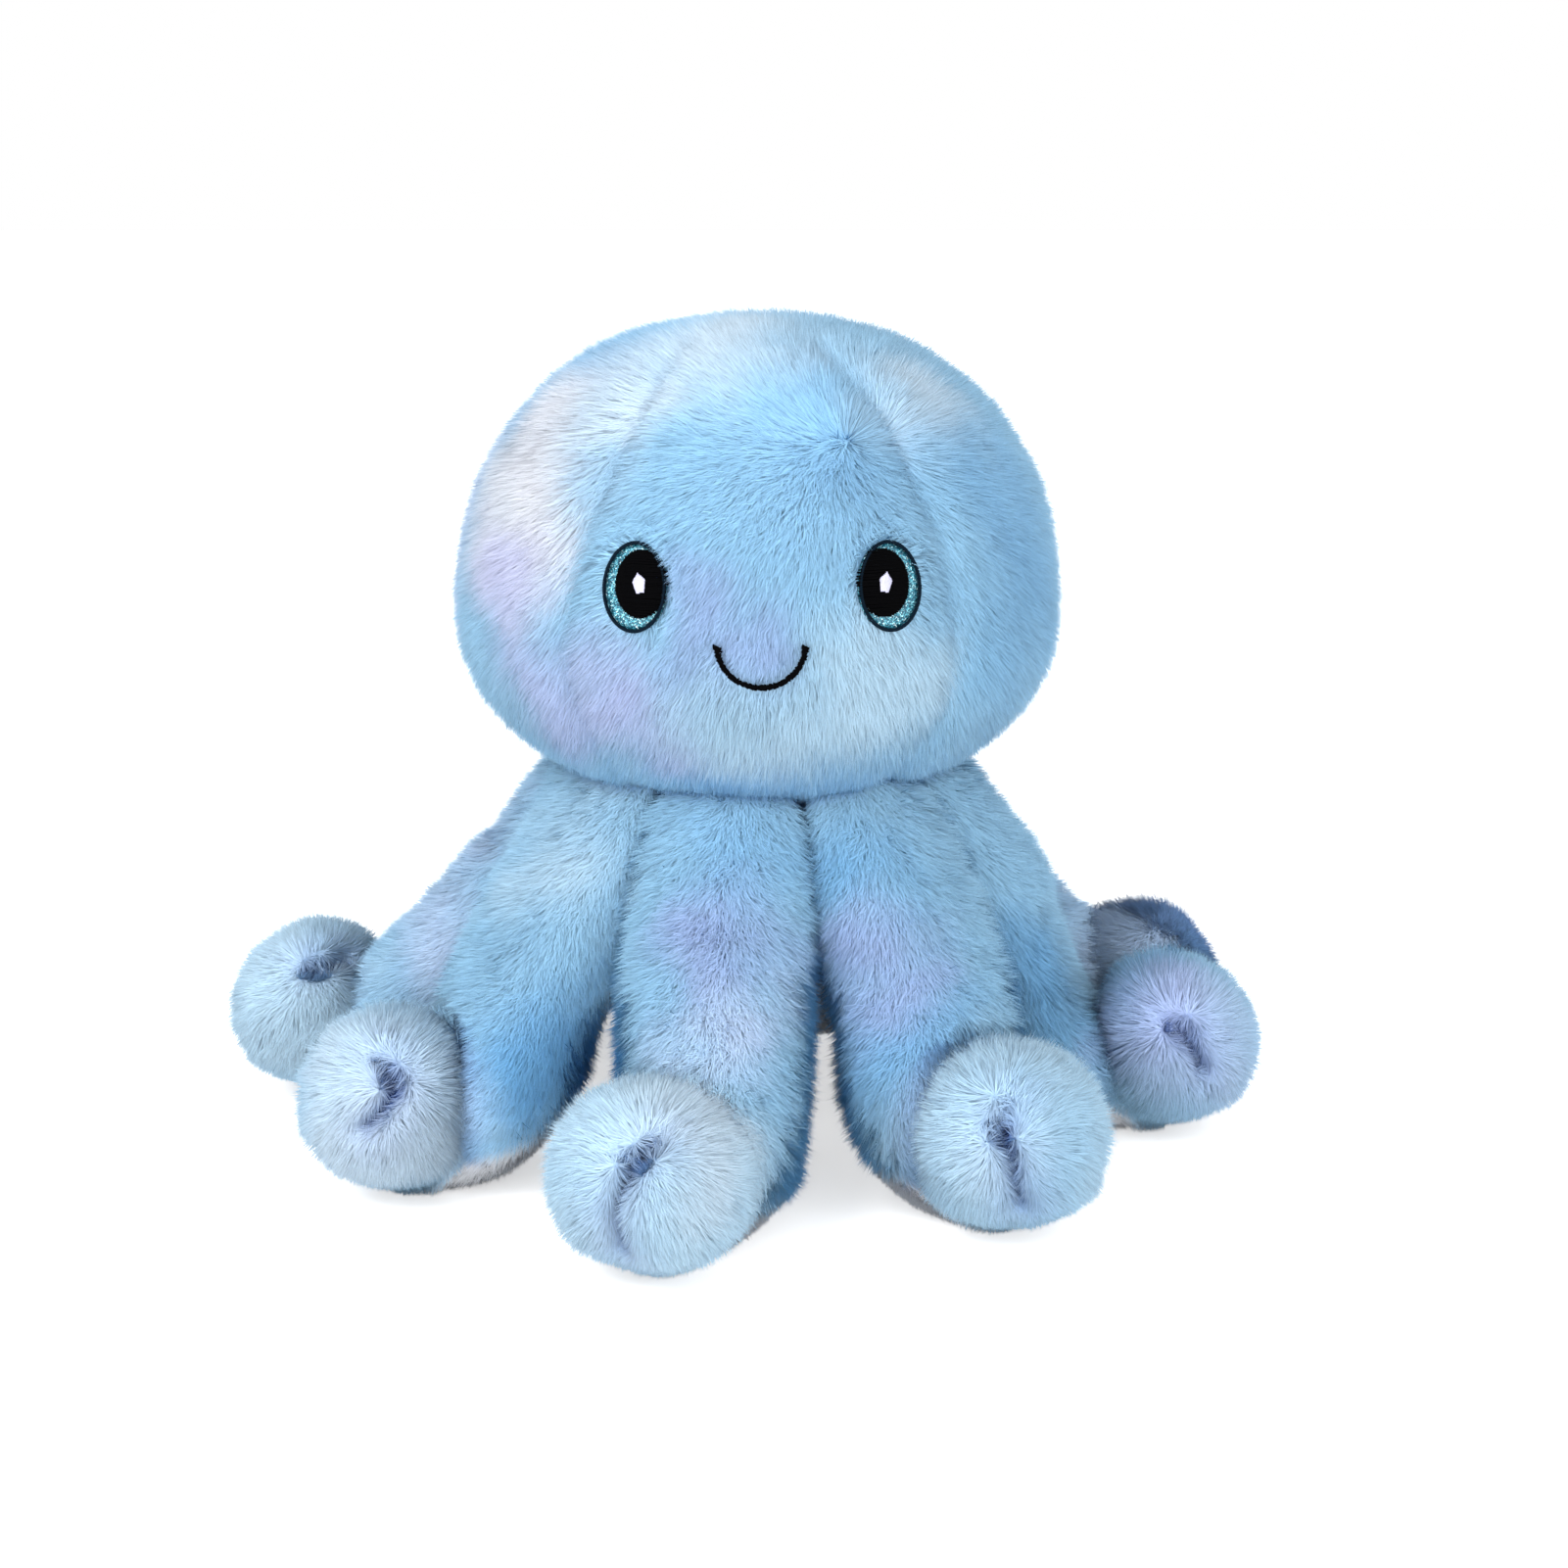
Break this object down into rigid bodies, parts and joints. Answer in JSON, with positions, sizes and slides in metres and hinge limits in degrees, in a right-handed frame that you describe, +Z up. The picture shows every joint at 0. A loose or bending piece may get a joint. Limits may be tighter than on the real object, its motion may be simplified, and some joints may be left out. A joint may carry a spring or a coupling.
{
  "type": "plush octopus",
  "caption": "Soft stuffed octopus with a round head, embroidered smile, glittery oval eyes and a skirt of arms whose ends are rolled up",
  "frame": {"origin": "middle of the footprint, on the surface that the rolled arm ends rest on", "axes": "+Z up through the head; the face looks along -Y; +X is the toy's own left"},
  "size_m": [0.3121, 0.3094, 0.24],
  "materials": {
    "blue_plush": "long pastel blue pile with lilac patches",
    "pale_plush": "long pale blue, white and lilac tie-dyed pile",
    "white_plush": "short whitish pile",
    "filling": "white fibre filling",
    "teal_glitter": "glitter fabric",
    "navy_thread": "embroidery thread",
    "black_thread": "embroidery thread",
    "white_thread": "embroidery thread"
  },
  "bodies": {
    "body": {"skirt_panel_1": "blue_plush", "skirt_panel_2": "blue_plush", "skirt_panel_3": "blue_plush", "skirt_panel_4": "blue_plush", "skirt_panel_5": "blue_plush", "skirt_panel_6": "blue_plush", "skirt_panel_7": "blue_plush", "skirt_panel_8": "blue_plush", "base_panel": "white_plush", "body_filling": "filling"},
    "head": {"head_front_panel": "pale_plush", "head_left_panel": "pale_plush", "head_right_panel": "pale_plush", "head_back_left_panel": "pale_plush", "head_back_right_panel": "pale_plush", "head_filling": "filling", "left_eye_rim": "navy_thread", "left_eye_iris": "teal_glitter", "left_eye_pupil": "black_thread", "left_eye_highlight": "white_thread", "right_eye_rim": "navy_thread", "right_eye_iris": "teal_glitter", "right_eye_pupil": "black_thread", "right_eye_highlight": "white_thread", "mouth_stitch": "black_thread"},
    "arm_1": {"arm_1_top_panel": "blue_plush", "arm_1_underside_panel": "white_plush", "arm_1_filling": "filling"},
    "arm_2": {"arm_2_top_panel": "blue_plush", "arm_2_underside_panel": "white_plush", "arm_2_filling": "filling"},
    "arm_3": {"arm_3_top_panel": "blue_plush", "arm_3_underside_panel": "white_plush", "arm_3_filling": "filling"},
    "arm_4": {"arm_4_top_panel": "blue_plush", "arm_4_underside_panel": "white_plush", "arm_4_filling": "filling"},
    "arm_5": {"arm_5_top_panel": "blue_plush", "arm_5_underside_panel": "white_plush", "arm_5_filling": "filling"},
    "arm_6": {"arm_6_top_panel": "blue_plush", "arm_6_underside_panel": "white_plush", "arm_6_filling": "filling"},
    "arm_7": {"arm_7_top_panel": "blue_plush", "arm_7_underside_panel": "white_plush", "arm_7_filling": "filling"},
    "arm_8": {"arm_8_top_panel": "blue_plush", "arm_8_underside_panel": "white_plush", "arm_8_filling": "filling"}
  },
  "joints": [
    {"name": "head_nod", "type": "hinge", "parent": "body", "child": "head", "pos_m": [0.0071, 0.0007, 0.15], "axis": [1, 0, 0], "range_deg": [-5, 5], "stiffness_Nm_per_rad": 1.5},
    {"name": "arm_1_lift", "type": "hinge", "parent": "body", "child": "arm_1", "pos_m": [-0.00651, -0.08523, 0.08], "axis": [-0.9877, 0.1564, 0], "range_deg": [-5, 50], "stiffness_Nm_per_rad": 0.6},
    {"name": "arm_2_lift", "type": "hinge", "parent": "body", "child": "arm_2", "pos_m": [0.05824, -0.06968, 0.08], "axis": [-0.809, -0.5878, 0], "range_deg": [-5, 50], "stiffness_Nm_per_rad": 0.6},
    {"name": "arm_3_lift", "type": "hinge", "parent": "body", "child": "arm_3", "pos_m": [0.09303, -0.01291, 0.08], "axis": [-0.1564, -0.9877, 0], "range_deg": [-5, 50], "stiffness_Nm_per_rad": 0.6},
    {"name": "arm_4_lift", "type": "hinge", "parent": "body", "child": "arm_4", "pos_m": [0.07748, 0.05184, 0.08], "axis": [0.5878, -0.809, 0], "range_deg": [-5, 50], "stiffness_Nm_per_rad": 0.6},
    {"name": "arm_5_lift", "type": "hinge", "parent": "body", "child": "arm_5", "pos_m": [0.02071, 0.08663, 0.08], "axis": [0.9877, -0.1564, 0], "range_deg": [-5, 50], "stiffness_Nm_per_rad": 0.6},
    {"name": "arm_6_lift", "type": "hinge", "parent": "body", "child": "arm_6", "pos_m": [-0.04404, 0.07108, 0.08], "axis": [0.809, 0.5878, 0], "range_deg": [-5, 50], "stiffness_Nm_per_rad": 0.6},
    {"name": "arm_7_lift", "type": "hinge", "parent": "body", "child": "arm_7", "pos_m": [-0.07883, 0.01431, 0.08], "axis": [0.1564, 0.9877, 0], "range_deg": [-5, 50], "stiffness_Nm_per_rad": 0.6},
    {"name": "arm_8_lift", "type": "hinge", "parent": "body", "child": "arm_8", "pos_m": [-0.06328, -0.05044, 0.08], "axis": [-0.5878, 0.809, 0], "range_deg": [-5, 50], "stiffness_Nm_per_rad": 0.6}
  ]
}
